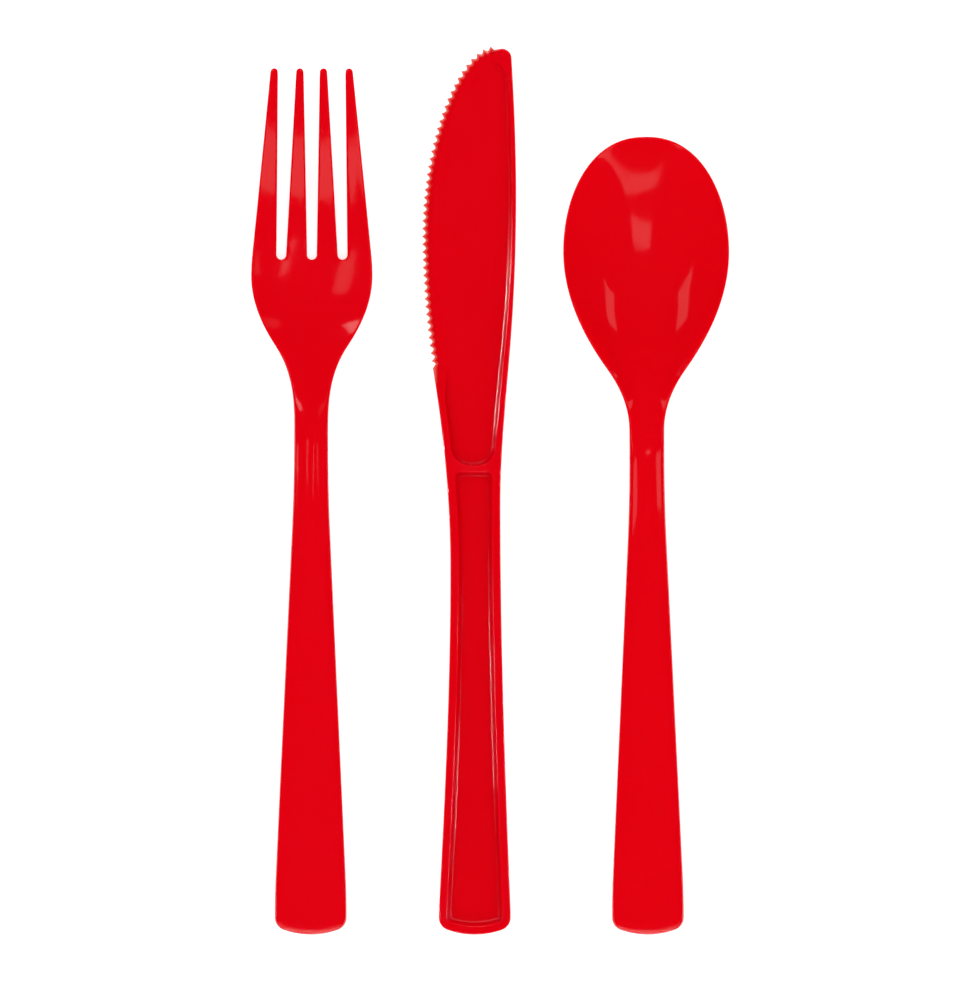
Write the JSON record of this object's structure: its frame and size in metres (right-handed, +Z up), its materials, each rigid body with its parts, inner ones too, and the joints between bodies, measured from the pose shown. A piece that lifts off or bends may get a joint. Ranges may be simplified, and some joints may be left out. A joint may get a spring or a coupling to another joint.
{
  "type": "plastic cutlery pack",
  "caption": "Disposable plastic fork, serrated knife and spoon laid side by side, each a glossy moulding with a tapering handle that is hollow on one side.",
  "frame": {"origin": "centre of the set's footprint, at the level of the table it lies on", "axes": "+Y from the handles towards the tips, +X from the fork past the knife to the spoon, +Z up"},
  "size_m": [0.1024, 0.1903, 0.0117],
  "materials": {
    "fork_plastic": "glossy red, as moulded",
    "knife_plastic": "glossy red, as moulded",
    "spoon_plastic": "glossy red, as moulded"
  },
  "bodies": {
    "root": {"fork": "fork_plastic", "knife": "knife_plastic", "spoon": "spoon_plastic"}
  },
  "joints": []
}
